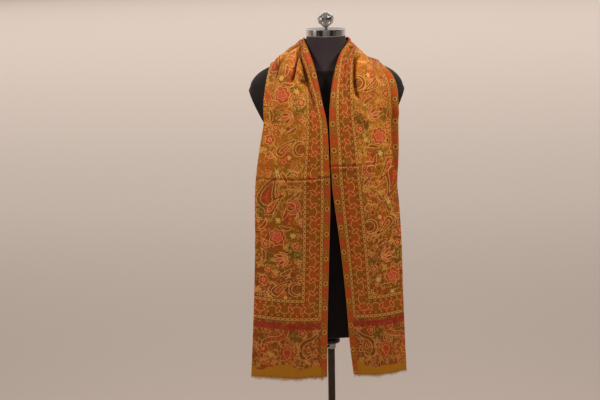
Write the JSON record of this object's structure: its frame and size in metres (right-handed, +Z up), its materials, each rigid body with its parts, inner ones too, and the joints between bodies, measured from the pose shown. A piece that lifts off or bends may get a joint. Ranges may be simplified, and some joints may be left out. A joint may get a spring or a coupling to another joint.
{
  "type": "shawl on dress form",
  "caption": "Long printed shawl folded lengthwise and worn open round the neck of a limbless dress form on a pole stand with a round base.",
  "frame": {"origin": "on the floor under the middle of the round base", "axes": "+Z up, the front of the form faces -Y, +X to the viewer's right"},
  "size_m": [0.43, 0.43, 1.511],
  "materials": {
    "shawl_cloth": "fine woven wool and silk, soft low sheen, paisley and flower pattern",
    "frayed_ends": "short frayed warp ends",
    "form_cloth": "brown-black jersey stretched over the form",
    "neck_cloth": "dark grey-violet jersey",
    "plate_plastic": "dark satin plastic",
    "chrome": "polished",
    "socket_metal": "black satin paint",
    "collar_metal": "satin",
    "screw_metal": "black satin paint",
    "pole_metal": "drawn steel tube, soft shine",
    "base_metal": "black satin paint"
  },
  "bodies": {
    "root": {"torso": "form_cloth", "neck": "neck_cloth", "arm_plate_left": "plate_plastic", "arm_plate_right": "plate_plastic", "neck_cap": "chrome", "cap_ball": "chrome", "socket": "socket_metal", "clamp_collar": "collar_metal", "clamp_screw": "screw_metal", "pole": "pole_metal", "base": "base_metal", "fall_left": "shawl_cloth", "fall_right": "shawl_cloth", "neck_wrap": "shawl_cloth", "fringe_left": "frayed_ends", "fringe_right": "frayed_ends"}
  },
  "joints": []
}
